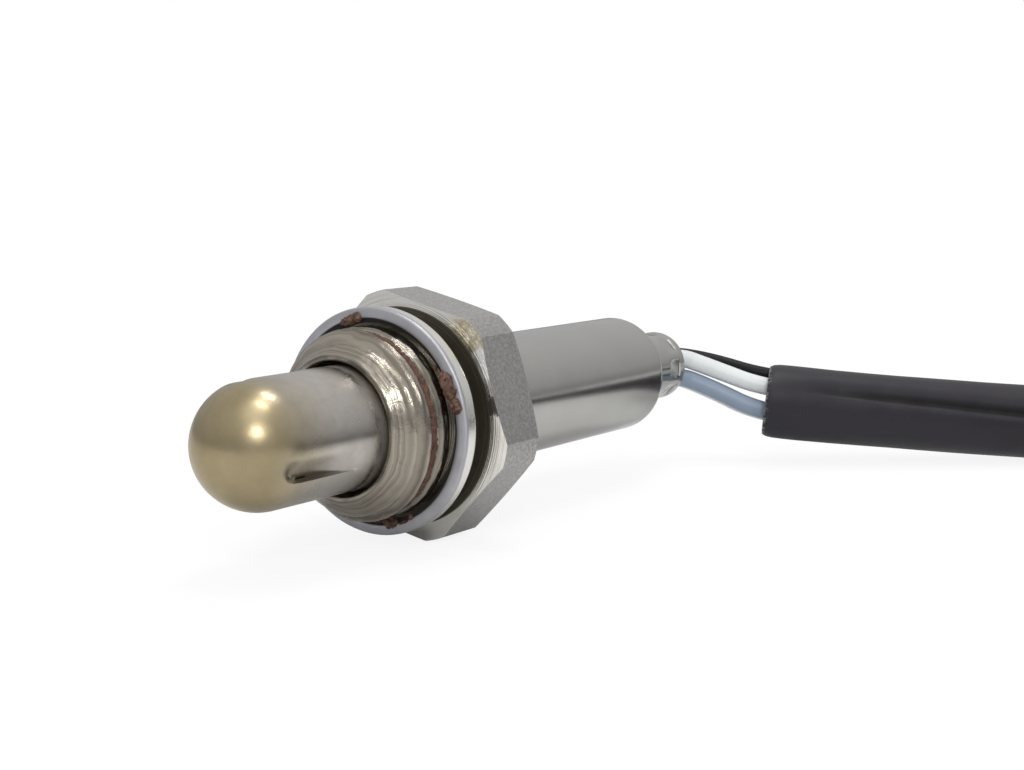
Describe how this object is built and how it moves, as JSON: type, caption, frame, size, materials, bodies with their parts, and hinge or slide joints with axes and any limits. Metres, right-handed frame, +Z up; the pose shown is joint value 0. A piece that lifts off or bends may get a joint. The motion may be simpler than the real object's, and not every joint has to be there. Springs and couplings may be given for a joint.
{
  "type": "oxygen sensor",
  "caption": "Used heated exhaust oxygen sensor with a louvred protective tube, a captive gasket, a hexagon, a steel casing, coloured wires and a sleeved lead coiled to its plug.",
  "frame": {"origin": "on the sensor's axis in the plane of the hexagon's front face, which seats on the gasket", "axes": "-Y points to the sensor's tip and +Y to its wires, +Z is up as the sensor lies on an edge of its hexagon, +X is to the side that the lead bends to"},
  "size_m": [0.17, 0.1395, 0.0238],
  "materials": {
    "shell_steel": "machined, worn, with copper anti-seize paste left on it",
    "tube_steel": "drawn, satin, with a brass-coloured heat tint at the tip",
    "inner_tube_steel": "drawn, dull",
    "gasket_steel": "crushed, satin, with smears of copper paste",
    "casing_steel": "drawn, satin, clean",
    "zirconia": "fired, matte",
    "seal_steel": "plain",
    "talc": "pressed powder",
    "alumina": "fired, matte",
    "contact_metal": "nickel-plated",
    "spring_steel": "plain",
    "grommet_rubber": "matte",
    "white_insulation": "smooth, slightly soiled",
    "grey_insulation": "smooth, blue-grey",
    "black_insulation": "smooth",
    "lead_sleeving": "satin, dark, slightly creased",
    "tie_nylon": "fine moulded",
    "plug_plastic": "fine moulded",
    "plug_lock_plastic": "fine moulded",
    "plug_cap_plastic": "fine moulded",
    "seal_rubber": "smooth",
    "blade_metal": "tin-plated"
  },
  "bodies": {
    "root": {"sensor_shell": "shell_steel", "outer_protective_tube": "tube_steel", "inner_protective_tube": "inner_tube_steel", "captive_gasket": "gasket_steel", "casing_sleeve": "casing_steel", "zirconia_element": "zirconia", "element_seal_washer": "seal_steel", "crimp_ring": "seal_steel", "talc_packing": "talc", "ceramic_bush": "alumina", "ceramic_carrier": "alumina", "heater_rod": "alumina", "signal_contact": "contact_metal", "ground_contact": "contact_metal", "heater_contact_1": "contact_metal", "heater_contact_2": "contact_metal", "carrier_spring": "spring_steel", "wire_grommet": "grommet_rubber", "white_wire_1": "white_insulation", "white_wire_2": "white_insulation", "plug_white_wire_1": "white_insulation", "plug_white_wire_2": "white_insulation", "grey_wire": "grey_insulation", "plug_grey_wire": "grey_insulation", "black_wire": "black_insulation", "plug_black_wire": "black_insulation", "lead_sleeve": "lead_sleeving", "lead_coil": "lead_sleeving", "coil_tie": "tie_nylon", "plug_housing": "plug_plastic", "plug_retainer": "plug_lock_plastic", "plug_end_cap": "plug_cap_plastic", "plug_wire_seals": "seal_rubber", "plug_blades": "blade_metal"}
  },
  "joints": []
}
